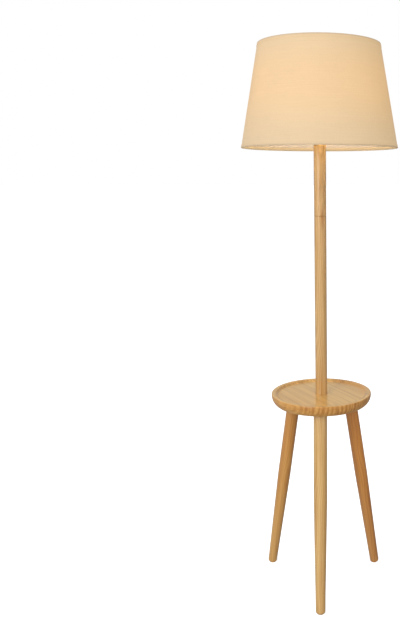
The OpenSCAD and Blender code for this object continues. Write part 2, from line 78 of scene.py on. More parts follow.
# The tones of the wood, light and dark, and one pair that is painted light, marked below
PALE = (0.63, 0.40, 0.165), (0.43, 0.22, 0.052)
CREAM = (0.695, 0.47, 0.20), (0.50, 0.28, 0.08)
YELLOW = (0.665, 0.43, 0.163), (0.475, 0.25, 0.06)
AMBER = (0.60, 0.292, 0.06), (0.43, 0.165, 0.017)
HONEY = (0.62, 0.365, 0.11), (0.45, 0.225, 0.042)
RUSSET = (0.65, 0.275, 0.038), (0.45, 0.15, 0.01)
UMBER = (0.57, 0.268, 0.056), (0.39, 0.15, 0.018)
# Not a tone of the wood: the bulb's light falling on the pole's top under the shade, painted on as a
# lighter, warmer colour
PAINTED_BULB_LIGHT = (0.95, 0.655, 0.275), (0.70, 0.385, 0.10)
TRAY_TONES = (0.79, 0.485, 0.155), (0.55, 0.28, 0.052)

# The places along a leg where one tone becomes another, and the reach down from the pole's top over
# which the painted bulb light gives way to the wood's tone
FOOT_TONE = (0, 450 * MM)
HEAD_TONE = (590 * MM, 480 * MM)
PAINTED_LIGHT_REACH = 140 * MM

# The wood's figure. A noise's scale is per metre: in depth, across the grain and along it, and its
# span holds the values that count as 0 and 1. Of two shares by which something shows, the first is
# for wood along the grain and the second for its end.
NOISE_SPAN = (0.3, 0.7)
NARROW_SPAN = (0.35, 0.65)
PLANK_WIDTH = 34 * MM
PLANK_RUN = (0.53, -0.85, 0)
PLANK_FROM_PITH = (160 * MM, 400 * MM)
PLANK_LEAN = 30 * MM
PLANK_TINT = (0.89, 0.80, 0.68)
PLANK_SEED = 34.0
GLUE_EDGE = (0.485, 0.497)
GLUE_SHOWS = 0.2
PITH_TILT = 0.022
STICK_RINGS = 4.6 * MM
STICK_RINGS_SHOW = (0.36, 0.5)
TRAY_RINGS = (7 * MM, 17 * MM)
TRAY_RINGS_SHOW = (0.16, 0.5)
RING_TONES = [(0, 0.25), (0.3, 0.1), (0.8, 0.9), (1, 0.25)]
RING_WANDER = 9 * MM
RING_WANDER_SCALE = (7, 7, 2.2)
RING_KINK = 5 * MM
RING_KINK_SCALE = (4, 48, 4)
STREAK_SCALE = (95, 95, 2.6)
STREAK_SPAN = (0.32, 0.68)
STREAKS_SHOW = (0.42, 0.2)
FIBRE_SCALE = (760, 760, 14)
FIBRES_SHOW = 0.22
PORE_SCALE = (1500, 1500, 42)
PORE_SPAN = (0.58, 0.7)
PORES_SHOW = 0.35
PORE_TINT = (0.72, 0.62, 0.5)
DRIFT_SCALE = (9, 9, 1.7)
DRIFT_TINT = (0.93, 0.87, 0.78)
FIGURE_SPAN = (0.2, 0.8)
END_GRAIN = (0.15, 0.9)
END_GRAIN_TINT = (0.61, 0.40, 0.165)
END_GRAIN_SOAKS = (0.4, 0.95)
TURNED_SIDE = 0.88
TURNED_SIDE_TILT = (0.3, 0.9)
STICK_COAT = 0.85
TRAY_COAT = 1.0
UNDERSIDE_COAT = 0.1
COAT_TILT = (-0.9, 0.9)
COAT_ROUGHNESS = 0.2

# The pole's joint, and the knot beside it. The knot's core and its flame's edge are shares of it.
JOINT_LINE = (0.4 * MM, 3 * MM)
JOINT_SHOWS = (0.15, 0.5)
JOINT_SCALE = 60
KNOT_SIZE = 6.5 * MM
KNOT_FLAME = 34 * MM
KNOT_TURN = math.radians(-68)
KNOT_DROP = 3 * MM
KNOT_CORE = 0.2
KNOT_FLAME_EDGE = 1.3
KNOT_UNEVEN = 0.3
KNOT_SCALE = (260, 260, 120)
KNOT_SHOWS = 0.75
KNOT_TINT = (0.72, 0.52, 0.24)
KNOT_EYE_TINT = (0.9, 0.82, 0.7)

# Meshes
SAME_POINT = 1e-7
SHARP_EDGE = 40
NEAR = 0.2 * MM
TURN_STEPS = 96
ROUND_STEPS = 4
ROUND_LIMIT = 0.49

# The shade
SEAM_TURN = TAU / 4
SEAM_SAG = 0.35
SEAM_SAGS_FROM = 0.75
SEAM_ROWS = 24
SEAM_COLUMNS = 16
FABRIC_ROWS = 36
WARP_THREADS = 1500
WEFT_PITCH = 0.85 * MM
WEFT_SLUBS = (9, 9, 1100)
WARP_SLUBS = (900, 900, 7)
SLUB_SPAN = (0.75, 1.25)
CLOTH_WAVE = 0.22 * MM
CLOTH_WAVES = 7
CLOTH_SWAY = 2.2
# From BACK_LIGHT to RIM_GLOW, but for CLOTH_LETS_THROUGH: the bulb's light through the cloth, painted
# on as a glow, with painted shade at the cloth's two edges
BACK_LIGHT = (14.0, 26.5)
GLOW = (0.54, 0.68)
GLOW_NEAR = (1.0, 0.635, 0.235)
GLOW_FAR = (1.0, 0.735, 0.365)
SLUB_GLOW = (1.025, 0.965)
MOTTLE_GLOW = (0.97, 1.03)
CLOTH_LETS_THROUGH = 0.45
RIM = (0.5 * MM, 4.5 * MM)
RIM_GLOW = 0.6
HEM_STEPS = 240
HEM_THICK = 0.6 * MM
HEM_FOLD_CUT = 0.3
NOTCH_HALF_WIDTH = 2.6 * MM
NOTCH_EDGES = (0.9, 1.1)
NOTCH_REACH = 0.08
ARM_TIP = 6 * MM
ARM_TURN = TAU / 12
ARMS_APART = 0.5
WELD_REACH = 4.5 * MM
WELD_INSET = 0.2 * MM
WELD_RADIUS = 2.5 * MM
WELD_SHARP_EDGE = 80
WELD_UNEVEN = 0.07
WELD_ROWS = 8
WELD_COLUMNS = 12

# The lampholder and the bulb. A pair of ends is how far something starts and stops from an edge.
RIB_COUNT = 40
RIB_STEPS = 8
RIB_DEPTH = 0.7 * MM
RIB_INSET = 1.2 * MM
RING_ROUND = 0.8 * MM
SKIRT_PITCH = 2.5 * MM
SKIRT_THREAD_DEPTH = 0.7 * MM
SKIRT_THREAD_ENDS = (1.2 * MM, 2.2 * MM)
SKIRT_CHAMFER = 0.6 * MM
SKIRT_LIP = 1.5 * MM
CAP_THREAD_DEPTH = 0.8 * MM
CAP_THREAD_CLEARANCE = 0.25 * MM
CAP_FOOT_ENDS = (0.6 * MM, 3 * MM)
CAP_NECK_ENDS = (7.5 * MM, 5.6 * MM)
CAP_WALL = 0.4 * MM
SHELL_WALL = 0.35 * MM
SHELL_THREAD_END = 1.2 * MM
SHELL_ROWS = 72
GLASS_GAP = 0.1 * MM
GLASS_STEP = (0.8 * MM, 0.6 * MM)
GLASS_STEP_DROP = 0.2 * MM
HOUSING_ROWS = 32

# The nut and the gland
NUT_FACE = 0.98
NUT_CHAMFER = math.radians(30)
NUT_MOUTH = 0.5 * MM
NUT_STEPS = 72
GLAND_FLUTES = 12
GLAND_FLUTE_STEPS = 12
GLAND_FLUTE_DEPTH = 0.55 * MM
GLAND_COLLAR = 7 * MM
GLAND_ROUND = 0.6 * MM
GLAND_CHAMFER = 0.8 * MM
GLAND_TAPER = 2.2 * MM
GLAND_GAP = 0.1 * MM

# What the frame gives. The globe's widest point is its centre, one radius below its top.
nodes = frame["nodes"]
GLOBE_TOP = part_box("bulb_globe")[1]
GLOBE_RADIUS = GLOBE_TOP.x
BULB_CENTRE = Vector((0, 0, GLOBE_TOP.z - GLOBE_RADIUS))


# Meshes


def linked(name, data):
    """A new object in the scene, with this data."""
    made = bpy.data.objects.new(name, data)
    bpy.context.scene.collection.objects.link(made)
    return made


def solid(name, points, faces, sharp=SHARP_EDGE):
    """A mesh object with its normals outward, smooth but for edges over sharp degrees."""
    shape = bmesh.new()
    corners = [shape.verts.new(p) for p in points]
    for face in faces:
        shape.faces.new([corners[i] for i in face])
    bmesh.ops.remove_doubles(shape, verts=shape.verts, dist=SAME_POINT)
    bmesh.ops.recalc_face_normals(shape, faces=shape.faces)
    mesh = bpy.data.meshes.new(name)
    shape.to_mesh(mesh)
    shape.free()
    mesh.shade_smooth()
    mesh.set_sharp_from_angle(angle=math.radians(sharp))
    return linked(name, mesh)


def turn_angles(steps, start=0.0, turn=TAU):
    """Evenly spaced angles. A full turn leaves out the last one, which is the first again."""
    count = steps if turn == TAU else steps + 1
    return [start + turn * i / steps for i in range(count)]


def swept(name, section, angles, whole=True):
    """A solid swept round the Z axis. section(angle) is its closed outline of (radius, z) points.

    A whole one closes on itself, and another one gets a flat end at its first and last angle.
    """
    points = [(r * math.cos(a), r * math.sin(a), z) for a in angles for r, z in section(a)]
    n = len(points) // len(angles)
    faces = []
    for i in range(len(angles) if whole else len(angles) - 1):
        a, b = i * n, (i + 1) % len(angles) * n
        faces += [(a + j, b + j, b + (j + 1) % n, a + (j + 1) % n) for j in range(n)]
    if not whole:
        faces += [range(n), range(len(points) - n, len(points))]
    return solid(name, points, faces)


def turned(name, outline, steps=TURN_STEPS):
    """A solid with the same outline all round the Z axis."""
    return swept(name, lambda angle: outline, turn_angles(steps))


def rounded(outline, radius):
    """The outline with its corners rounded, by half of an edge at the most."""
    out = []
    for i, corner in enumerate(outline):
        here = Vector(corner)
        ends = []
        for other in (outline[i - 1], outline[(i + 1) % len(outline)]):
            edge = Vector(other) - here
            ends.append(here + edge.normalized() * min(radius, edge.length * ROUND_LIMIT))
        for k in range(ROUND_STEPS + 1):
            t = k / ROUND_STEPS
            bend = ends[0] * (1 - t) ** 2 + here * 2 * t * (1 - t) + ends[1] * t ** 2
            out.append(tuple(bend))
    return out


def ribbon(path, thickness):
    """The closed outline of a band of even thickness that follows a path of (radius, z) points."""
    sides = ([], [])
    for i, here in enumerate(path):
        before, after = path[max(i - 1, 0)], path[min(i + 1, len(path) - 1)]
        along = (Vector(after) - Vector(before)).normalized()
        out = Vector((along.y, -along.x)) * thickness / 2
        sides[0].append(tuple(Vector(here) + out))
        sides[1].append(tuple(Vector(here) - out))
    return sides[0] + sides[1][::-1]


def ease(value, low, high):
    """0 below low, 1 above high and smooth between them."""
    t = min(max((value - low) / (high - low), 0), 1)
    return t * t * (3 - 2 * t)


def thread_wave(angle, z, pitch):
    """0 on a right-handed thread's crest and 1 in its root."""
    return (1 - math.cos(TAU * z / pitch - angle)) / 2


def thread_run(z, start, end):
    """1 where a thread is full, and less in its first and its last millimetre."""
    return ease(z, start, start + MM) * (1 - ease(z, end - MM, end))


def flute(angle, count, power):
    """0 between the flutes round a piece and 1 in the middle of each, rounder for a low power."""
    return ((1 - math.cos(count * angle)) / 2) ** power


def spread(low, high, steps):
    """Evenly spaced numbers from low to high."""
    return [low + (high - low) * i / steps for i in range(steps + 1)]


def radii(node, z):
    """The least and greatest radius of a CAD node's points near a height."""
    found = [v.co.xy.length for v in nodes[node].data.vertices if abs(v.co.z - z) < NEAR]
    return min(found), max(found)


# Materials


class Look:
    """The shading of a material or a world, with short calls that add nodes to it."""

    def __init__(self, owner):
        owner.use_nodes = True
        self.owner = owner
        self.tree = owner.node_tree
        self.tree.nodes.clear()
        self.source = self.node("TexCoord", {}).outputs
        self.place = self.source["Object"]
        self.normal = self.source["Normal"]

    def node(self, kind, inputs, **settings):
        made = self.tree.nodes.new("ShaderNode" + kind)
        for name, value in settings.items():
            setattr(made, name, value)
        for name, value in inputs.items():
            if isinstance(value, bpy.types.NodeSocket):
                self.tree.links.new(value, made.inputs[name])
            else:
                made.inputs[name].default_value = value
        return made

    def maths(self, operation, *values):
        return self.node("Math", dict(enumerate(values)), operation=operation).outputs[0]

    def vector(self, operation, a, b, output="Vector"):
        return self.node("VectorMath", {0: a, 1: b}, operation=operation).outputs[output]

    def distance(self, a, b):
        return self.vector("DISTANCE", a, b, "Value")

    def parts(self, vector=None):
        """The three numbers of a vector, which is the place if none is given."""
        return self.node("SeparateXYZ", {0: vector or self.place}).outputs

    def join(self, x, y, z):
        return self.node("CombineXYZ", {"X": x, "Y": y, "Z": z}).outputs[0]

    def noise(self, vector, scale, detail, roughness=0.55):
        """Noise from 0 to 1. Its scale is one number, or three for the three directions."""
        scales = scale if isinstance(scale, tuple) else (scale,) * 3
        inputs = {"Vector": self.vector("MULTIPLY", vector, scales), "Scale": 1}
        inputs |= {"Detail": detail, "Roughness": roughness}
        return self.node("TexNoise", inputs).outputs["Fac"]

    def remap(self, value, low, high, to_low=0, to_high=1):
        inputs = {"Value": value, "From Min": low, "From Max": high}
        inputs |= {"To Min": to_low, "To Max": to_high}
        return self.node("MapRange", inputs).outputs["Result"]

    def mix(self, factor, a, b, blend="MIX"):
        inputs = {0: factor, 6: opaque(a), 7: opaque(b)}
        settings = {"data_type": "RGBA", "blend_type": blend, "clamp_factor": True}
        return self.node("Mix", inputs, **settings).outputs[2]

    def tinted(self, colour, tint):
        return self.mix(1.0, colour, tint, "MULTIPLY")

    def curve(self, value, stops):
        """A piecewise curve through (position, height) stops, both from 0 to 1."""
        made = self.node("ValToRGB", {"Fac": value})
        ramp = made.color_ramp
        while len(ramp.elements) < len(stops):
            ramp.elements.new(1)
        for element, (position, height) in zip(ramp.elements, stops):
            element.position = position
            element.color = (height, height, height, 1)
        return made.outputs["Color"]

    def bump(self, height, distance, strength=1.0):
        inputs = {"Height": height, "Distance": distance, "Strength": strength}
        return self.node("Bump", inputs).outputs["Normal"]

    def principled(self, inputs):
        return self.node("BsdfPrincipled", inputs).outputs[0]

    def show(self, shader, output="OutputMaterial"):
        """Sets the surface, and returns the material or world that is then done."""
        self.node(output, {"Surface": shader})
        return self.owner


def new_look(name):
    return Look(bpy.data.materials.new(name))


def opaque(colour):
    """A colour of three numbers gets its alpha, and a socket stays as it is."""
    return (*colour, 1) if isinstance(colour, tuple) and len(colour) == 3 else colour


def grain_frame(look, origin, along):
    """Coordinates about a stick's axis, with the grain along the third of them."""
    turn = Vector(along).rotation_difference(Vector((0, 0, 1)))
    inputs = {
        "Vector": look.place,
        "Location": -(turn @ Vector(origin)),
        "Rotation": turn.to_euler(),
    }
    return look.node("Mapping", inputs).outputs[0]


def board_frame(look, origin, along):
    """Coordinates in a level board: its depth, the place across its grain and along it."""
    centred = look.vector("SUBTRACT", look.place, origin)
    turn = (0, 0, -math.atan2(along[1], along[0]))
    turned_place = look.node("Mapping", {"Vector": centred, "Rotation": turn}).outputs[0]
    length, across, depth = look.parts(turned_place)
    return look.join(depth, across, length)


def planks(look, across, seed):
    """For a board glued from planks: the place across a plank, random numbers and the glue lines."""
    count = look.maths("DIVIDE", across, PLANK_WIDTH)
    index = look.maths("FLOOR", count)
    share = look.maths("SUBTRACT", look.maths("FRACT", count), 0.5)
    inputs = {"W": look.maths("ADD", index, seed)}
    random = look.node("TexWhiteNoise", inputs, noise_dimensions="1D").outputs["Color"]
    line = look.remap(look.maths("ABSOLUTE", share), *GLUE_EDGE)
    return look.maths("MULTIPLY", share, PLANK_WIDTH), random, line


def ring_wander(look, grain, glued):
    """How far the growth rings stray. Those of a glued board also kink."""
    wander = look.noise(grain, RING_WANDER_SCALE, 2)
    wander = look.remap(wander, *NOISE_SPAN, -RING_WANDER, RING_WANDER)
    if not glued:
        return wander
    kinks = look.remap(look.noise(grain, RING_KINK_SCALE, 2), *NOISE_SPAN, -RING_KINK, RING_KINK)
    return look.maths("ADD", wander, kinks)


def growth_rings(look, depth, across, length, wander, pith, spacing, seed):
    """Growth rings round a pith that runs beside the piece, a little aslant."""
    x = look.maths("SUBTRACT", depth, pith[0])
    x = look.maths("SUBTRACT", x, look.maths("MULTIPLY", length, PITH_TILT))
    y = look.maths("SUBTRACT", across, pith[1])
    square = look.maths("ADD", look.maths("MULTIPLY", x, x), look.maths("MULTIPLY", y, y))
    radius = look.maths("ADD", look.maths("SQRT", square), wander)
    turns = look.maths("ADD", look.maths("DIVIDE", radius, spacing), seed)
    return look.curve(look.maths("FRACT", turns), RING_TONES)


def end_grain(look, along):
    """0 where the surface runs with the grain, and 1 where it cuts across it."""
    facing = look.vector("DOT_PRODUCT", look.normal, Vector(along).normalized(), "Value")
    return look.remap(look.maths("ABSOLUTE", facing), *END_GRAIN)


def tray_lacquer(look, end):
    """How dark the lacquer soaks in, most at the turned side, and its gloss, least underneath."""
    tilt = look.parts(look.normal)[2]
    side = look.remap(look.maths("ABSOLUTE", tilt), *TURNED_SIDE_TILT, TURNED_SIDE, 0)
    gloss = look.remap(tilt, *COAT_TILT, UNDERSIDE_COAT, TRAY_COAT)
    return look.maths("MAXIMUM", end, side), gloss


def add_knot(look, colour, place):
    """A small dark eye in the wood, uneven at its edge, in a darker flame along the grain."""
    squeeze = KNOT_SIZE / KNOT_FLAME
    core = KNOT_CORE * KNOT_SIZE
    squeezed = look.vector("MULTIPLY", look.place, (1, 1, squeeze))
    reach = look.distance(squeezed, (place.x, place.y, place.z * squeeze))
    flame = look.remap(reach, core, KNOT_FLAME_EDGE * KNOT_SIZE, KNOT_SHOWS, 0)
    colour = look.mix(flame, colour, look.tinted(colour, KNOT_TINT))
    uneven = look.noise(look.place, KNOT_SCALE, 2)
    uneven = look.remap(uneven, *NOISE_SPAN, -KNOT_UNEVEN, KNOT_UNEVEN)
    reach = look.maths("MULTIPLY_ADD", uneven, KNOT_SIZE, look.distance(look.place, place))
    eye = look.remap(reach, core, KNOT_SIZE, KNOT_SHOWS, 0)
    return look.mix(eye, colour, look.tinted(colour, KNOT_EYE_TINT))


def add_joint_line(look, colour, dark, height):
    """The darker line where two turned pieces meet."""
    gap = look.maths("ABSOLUTE", look.maths("SUBTRACT", look.parts()[2], height))
    faint = look.remap(look.noise(look.place, JOINT_SCALE, 2), *NARROW_SPAN, *JOINT_SHOWS)
    band = look.remap(gap, *JOINT_LINE, 1, 0)
    return look.mix(look.maths("MULTIPLY", band, faint), colour, dark)


def wood(name, origin, along, pith, tones, seed, glued=False, joint=None, knot=None, fade=None):
    """Lacquered wood, with its rings, streaks, fibres and pores, and darker where it is end grain.

    A glued board is made of planks. The joint is a height, and the knot a place on the surface.
    fade is other tones and the two places along the grain between which they give way to tones: on
    the legs a change in the wood's tone, on the upper pole the painted bulb light.
    """
    light, dark = tones
    look = new_look(name)
    grain = (board_frame if glued else grain_frame)(look, origin, along)
    depth, across, length = look.parts(grain)
    spacing, rings_show = STICK_RINGS, STICK_RINGS_SHOW
    if glued:
        across, random, line = planks(look, across, seed)
        shift, lean, tone = look.parts(random)
        spacing, rings_show = look.remap(lean, 0, 1, *TRAY_RINGS), TRAY_RINGS_SHOW
        across = look.maths("ADD", across, look.remap(shift, 0, 1, *PLANK_FROM_PITH))
        depth = look.maths("ADD", depth, look.remap(lean, 0, 1, -PLANK_LEAN, PLANK_LEAN))
        grain = look.join(depth, across, look.maths("ADD", length, shift))
    wander = ring_wander(look, grain, glued)
    rings = growth_rings(look, depth, across, length, wander, pith, spacing, seed)
    streaks = look.remap(look.noise(grain, STREAK_SCALE, 4), *STREAK_SPAN)
    fibres = look.noise(grain, FIBRE_SCALE, 3, 0.6)
    pores = look.remap(look.noise(grain, PORE_SCALE, 2), *PORE_SPAN)
    end = end_grain(look, along)
    soaked, gloss = tray_lacquer(look, end) if glued else (end, STICK_COAT)

    figure = look.maths("MULTIPLY", rings, look.remap(end, 0, 1, *rings_show))
    figure = look.maths("MULTIPLY_ADD", streaks, look.remap(end, 0, 1, *STREAKS_SHOW), figure)
    figure = look.maths("MULTIPLY_ADD", look.remap(fibres, *NOISE_SPAN), FIBRES_SHOW, figure)
    figure = look.remap(figure, *FIGURE_SPAN)

    colour = look.mix(figure, light, dark)
    if fade:
        others, start, stop = fade
        colour = look.mix(look.remap(length, start, stop), look.mix(figure, *others), colour)
    drift = look.remap(look.noise(grain, DRIFT_SCALE, 2), *NARROW_SPAN)
    colour = look.mix(drift, colour, look.tinted(colour, DRIFT_TINT))
    if glued:
        colour = look.mix(tone, colour, look.tinted(colour, PLANK_TINT))
        colour = look.mix(look.maths("MULTIPLY", line, GLUE_SHOWS), colour, dark)
    soaked = look.maths("MULTIPLY", soaked, look.remap(figure, 0, 1, *END_GRAIN_SOAKS))
    colour = look.mix(soaked, colour, look.tinted(colour, END_GRAIN_TINT))
    stained = look.tinted(colour, PORE_TINT)
    colour = look.mix(look.maths("MULTIPLY", pores, PORES_SHOW), colour, stained)
    if knot:
        colour = add_knot(look, colour, knot)
    if joint:
        colour = add_joint_line(look, colour, stained, joint)

    relief = look.maths("MULTIPLY_ADD", pores, -0.6, look.maths("MULTIPLY", fibres, 0.5))
    return look.show(look.principled({
        "Base Color": colour,
        "Roughness": look.remap(figure, 0, 1, 0.46, 0.36),
        "Normal": look.bump(relief, 0.12 * MM, 0.5),
        "Specular IOR Level": 0.35,
        "Coat Weight": gloss,
        "Coat Roughness": COAT_ROUGHNESS,
    }))


def finish(name, low, high, scale, roughness, relief=0.0, relief_scale=0, **sockets):
    """A plain finish: a colour that varies a little, uneven roughness and a fine relief."""
    look = new_look(name)
    cloud = look.remap(look.noise(look.place, scale, 4), *NOISE_SPAN)
    inputs = {
        "Base Color": look.mix(cloud, low, high),
        "Roughness": look.remap(cloud, 0, 1, *roughness),
    }
    if relief:
        inputs["Normal"] = look.bump(look.noise(look.place, relief_scale, 3), relief)
    inputs |= {key.replace("_", " "): value for key, value in sockets.items()}
    return look.show(look.principled(inputs))


def lit_back(look):
    """How much of the bulb's light reaches the cloth's back, from 0 where it gets least to 1."""
    x, y, _ = look.parts()
    reach = look.distance(look.join(x, y, 0), (0, 0, 0))
    away = look.distance(look.place, BULB_CENTRE)
    fall = look.maths("DIVIDE", reach, look.maths("POWER", away, 3))
    return look.remap(fall, *BACK_LIGHT)


def rim_shade(look):
    """1 on the cloth and less at its two edges, where the wire and the folded tape stop the light."""
    low, high = (corner.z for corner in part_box("shade_fabric"))
    z = look.parts()[2]
    rise = look.maths("SUBTRACT", z, low)
    drop = look.maths("SUBTRACT", high, z)
    return look.remap(look.maths("MINIMUM", rise, drop), *RIM, RIM_GLOW, 1)


def weave(look):
    """The height of a plain weave, and slubs that run along single threads."""
    x, y, z = look.parts()
    turn = look.maths("ARCTAN2", y, x)
    warp = look.maths("SINE", look.maths("MULTIPLY", turn, WARP_THREADS))
    weft = look.maths("SINE", look.maths("MULTIPLY", z, TAU / WEFT_PITCH))
    cross = look.maths("MULTIPLY", warp, weft)
    level = look.noise(look.place, WEFT_SLUBS, 3, 0.7)
    upright = look.noise(look.place, WARP_SLUBS, 3, 0.7)
    slubs = look.remap(look.maths("ADD", level, upright), *SLUB_SPAN)
    return cross, slubs


def cloth(name, thread, shadow, through):
    """Pale linen-like cloth, lit from behind: some of its light is painted glow, the bulb's light
    through the cloth painted on as emission.
    """
    look = new_look(name)
    cross, slubs = weave(look)
    mottle = look.remap(look.noise(look.place, 11, 2), *NOISE_SPAN)
    lit = lit_back(look)
    strength = look.maths("MULTIPLY", look.remap(lit, 0, 1, *GLOW), rim_shade(look))
    strength = look.maths("MULTIPLY", strength, look.remap(slubs, 0, 1, *SLUB_GLOW))
    strength = look.maths("MULTIPLY", strength, look.remap(mottle, 0, 1, *MOTTLE_GLOW))
    height = look.maths("MULTIPLY_ADD", cross, 0.3, slubs)
    front = look.principled({
        "Base Color": look.mix(slubs, thread, shadow),
        "Roughness": look.remap(slubs, 0, 1, 0.78, 0.9),
        "Normal": look.bump(height, 0.15 * MM, 0.6),
        "Sheen Weight": 0.3,
        "Sheen Roughness": 0.4,
        "Sheen Tint": (0.78, 0.9, 1.0, 1),
        "Specular IOR Level": 0.2,
        "Emission Color": look.mix(lit, GLOW_FAR, GLOW_NEAR),
        "Emission Strength": strength,
    })
    back = look.node("BsdfTranslucent", {"Color": opaque(through)}).outputs[0]
    both = look.node("MixShader", {0: CLOTH_LETS_THROUGH, 1: front, 2: back})
    return look.show(both.outputs[0])


def circuit(name):
    """A green board with tracks and pale pads."""
    look = new_look(name)
    cells = look.node("TexVoronoi", {"Vector": look.place, "Scale": 620}, feature="F1")
    pads = look.remap(cells.outputs["Distance"], 0.12, 0.2, 1, 0)
    brick = look.node("TexBrick", {"Vector": look.place, "Scale": 190})
    tracks = look.maths("MULTIPLY", brick.outputs["Fac"], 0.6)
    colour = look.mix(tracks, (0.02, 0.14, 0.05), (0.05, 0.3, 0.1))
    colour = look.mix(pads, colour, (0.6, 0.58, 0.5))
    return look.show(look.principled({
        "Base Color": colour,
        "Roughness": look.remap(pads, 0, 1, 0.45, 0.3),
        "Normal": look.bump(pads, 0.1 * MM),
    }))


def opal(name):
    """A frosted globe that glows, a little less towards its rim."""
    look = new_look(name)
    low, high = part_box("bulb_globe")
    rise = look.remap(look.parts()[2], low.z, high.z, 0.7, 1.0)
    frost = look.noise(look.place, 900, 2)
    strength = look.maths("MULTIPLY", rise, look.remap(frost, *NOISE_SPAN, 0.9, 1.0))
    return look.show(look.principled({
        "Base Color": (0.9, 0.88, 0.84, 1),
        "Roughness": look.remap(frost, *NOISE_SPAN, 0.32, 0.42),
        "Normal": look.bump(frost, 0.04 * MM),
        "Emission Color": (1.0, 0.82, 0.58, 1),
        "Emission Strength": strength,
    }))


def dress(piece, material):
    """Gives a piece its only material."""
    piece.data.materials.clear()
    piece.data.materials.append(material)


def dress_nodes(names, material):
    for name in names:
        dress(nodes[name], material)


def add(piece, material, slot, body, *replaced):
    """Finishes a new piece: its material, its body and the CAD nodes it stands for, which it hides.
    The slot is not used.
    """
    dress(piece, material)
    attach(piece, body)
    if replaced:
        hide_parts(*replaced)
    return piece


# The stage


def make_camera():
    data = bpy.data.cameras.new("camera")
    data.lens = CAMERA_LENS_MM
    data.sensor_width = CAMERA_SENSOR_MM
    data.sensor_fit = "AUTO"
    data.shift_x = CAMERA_SHIFT
    camera = linked("camera", data)
    camera.location = CAMERA_PLACE
    camera.rotation_euler = (math.radians(90) - CAMERA_PITCH, 0, 0)
    bpy.context.scene.camera = camera


def area_light(name, place, watts, size, colour):
    data = bpy.data.lights.new(name, "AREA")
    data.energy = watts
    data.shape = "RECTANGLE"
    data.size, data.size_y = size
    data.color = colour
    light = linked(name, data)
    light.location = place
    aim = Vector(LIGHTS_AIM) - Vector(place)
    light.rotation_euler = aim.to_track_quat("-Z", "Y").to_euler()
    light.visible_camera = False


def bulb_light():
    data = bpy.data.lights.new("bulb_light", "POINT")
    data.energy = BULB_WATTS
    data.color = BULB_COLOUR
    data.shadow_soft_size = GLOBE_RADIUS * BULB_SOFTNESS
    light = linked("bulb_light", data)
    light.location = BULB_CENTRE
    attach(light, "bulb")


def make_world():
    """A white studio, brighter on the key light's side. Seen directly it is plain white."""
    look = Look(bpy.data.worlds.new("studio"))
    towards = Vector(WORLD_FROM).normalized()
    facing = look.vector("DOT_PRODUCT", look.source["Generated"], towards, "Value")
    level = look.remap(facing, -1, 1, WORLD_FAR, WORLD_NEAR)
    light = look.node("Background", {"Strength": level}).outputs[0]
    plain = look.node("Background", {"Color": (1, 1, 1, 1)}).outputs[0]
    seen = look.node("LightPath", {}).outputs["Is Camera Ray"]
    both = look.node("MixShader", {0: seen, 1: light, 2: plain})
    bpy.context.scene.world = look.show(both.outputs[0], "OutputWorld")


def make_floor():
    look = new_look("floor")
    cloud = look.noise(look.place, 1.5, 2)
    material = look.show(look.principled({
        "Base Color": look.mix(cloud, (0.93, 0.93, 0.925), (0.95, 0.95, 0.95)),
        "Roughness": 0.9,
        "Emission Color": (1, 1, 1, 1),
        "Emission Strength": FLOOR_GLOW,
    }))
    angles = turn_angles(FLOOR_STEPS)
    rim = [(FLOOR_RADIUS * math.cos(a), FLOOR_RADIUS * math.sin(a), 0) for a in angles]
    floor = solid("floor", rim, [range(len(rim))])
    dress(floor, material)
    floor.visible_diffuse = False
    floor.visible_glossy = False


def make_stage():
    make_camera()
    make_world()
    make_floor()
    for name, (place, watts, size, colour) in AREA_LIGHTS.items():
        area_light(name, place, watts, size, colour)
    bulb_light()
    bpy.context.scene.view_settings.view_transform = "Standard"


# The wooden pieces


def leg_line(node):
    """A leg's lowest point and the direction of its axis, from its CAD mesh."""
    points = [v.co for v in nodes[node].data.vertices]
    low = min(p.z for p in points)
    high = max(p.z for p in points)
    ends = []
    for level in (low, high):
        ring = [p for p in points if abs(p.z - level) < NEAR / 2]
        ends.append(sum(ring, Vector()) / len(ring))
    return ends[0], (ends[1] - ends[0]).normalized()


def dress_legs():
    for name, tones, fade, pith, seed in (
        ("leg_front", YELLOW, (CREAM, *HEAD_TONE), (0.06, 0.035), 3.0),
        ("leg_right", RUSSET, (UMBER, *FOOT_TONE), (-0.05, 0.045), 11.0),
        ("leg_left", AMBER, (HONEY, *FOOT_TONE), (0.045, -0.06), 23.0),
    ):
        origin, along = leg_line(name)
        dress(nodes[name], wood(name + "_wood", origin, along, pith, tones, seed, fade=fade))


def dress_pole():
    """The two sections, with the knot below their joint, and the bulb's light painted on the upper
    one's top, under the shade.
    """
    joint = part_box("upper_pole")[0].z
    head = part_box("upper_pole")[1].z
    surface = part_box("lower_pole")[1].x
    side = surface * math.cos(KNOT_TURN), surface * math.sin(KNOT_TURN)
    knot = Vector((*side, joint - KNOT_DROP))
    for name, pith, seed, fade in (
        ("lower_pole", (0.055, 0.03), 5.0, None),
        # The bulb's light under the shade is painted on the upper section's top, fading out downwards
        ("upper_pole", (-0.04, 0.05), 17.0, (PAINTED_BULB_LIGHT, head, head - PAINTED_LIGHT_REACH)),
    ):
        dress(nodes[name], wood(
            name + "_wood", (0, 0, 0), (0, 0, 1), pith, PALE, seed,
            joint=joint, knot=knot, fade=fade,
        ))


def dress_tray():
    middle = sum(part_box("tray_top"), Vector()) / 2
    dress(nodes["tray_top"], wood(
        "tray_wood", middle, PLANK_RUN, (0, 0), TRAY_TONES, PLANK_SEED, glued=True,
    ))


# The shade


def wall_line():
    """The outside of the shade's fabric: radius as a function of height, and its two ends."""
    low, high = (corner.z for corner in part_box("shade_fabric"))
    r_low, r_high = radii("shade_fabric", low)[1], radii("shade_fabric", high)[1]
    slope = (r_high - r_low) / (high - low)
    return (lambda z: r_low + slope * (z - low)), low, high


